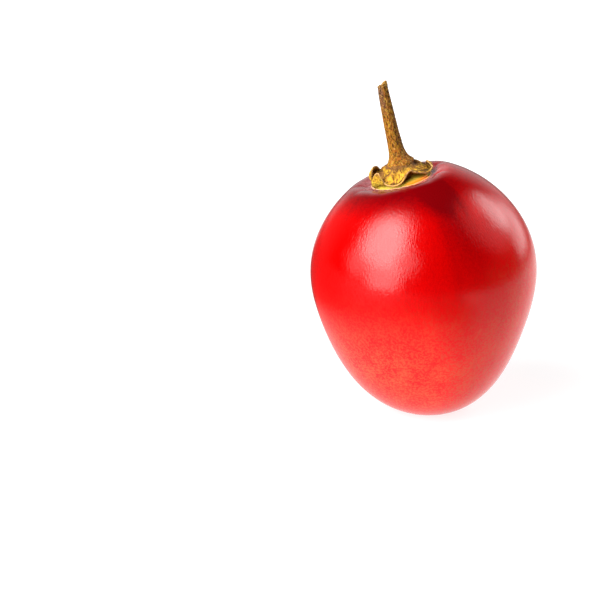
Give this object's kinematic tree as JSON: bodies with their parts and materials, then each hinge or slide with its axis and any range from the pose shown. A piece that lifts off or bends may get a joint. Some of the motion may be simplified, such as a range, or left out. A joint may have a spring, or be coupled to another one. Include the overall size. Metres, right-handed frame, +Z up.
{
  "type": "tamarillo",
  "caption": "Whole ripe tamarillo: an egg-shaped glossy red berry with a dried lobed calyx and a woody stalk, standing on its blossom end.",
  "frame": {"origin": "on the surface that the fruit rests on, under the middle of the berry's box", "axes": "+Z up, from the flat spot at the blossom end to the stalk; the stalk leans towards -X; the front is -Y"},
  "size_m": [0.0537, 0.0534, 0.0794],
  "materials": {
    "berry_skin": "smooth waxy red fruit skin, satin gloss, faintly mottled, a yellow-green seat at the stalk",
    "dry_calyx": "dry matt yellow-brown, wrinkled, with pale lobe edges",
    "stalk_bark": "dry matt brown-olive bark with fine pits and streaks"
  },
  "bodies": {
    "root": {"berry": "berry_skin", "calyx": "dry_calyx", "stalk": "stalk_bark"}
  },
  "joints": []
}
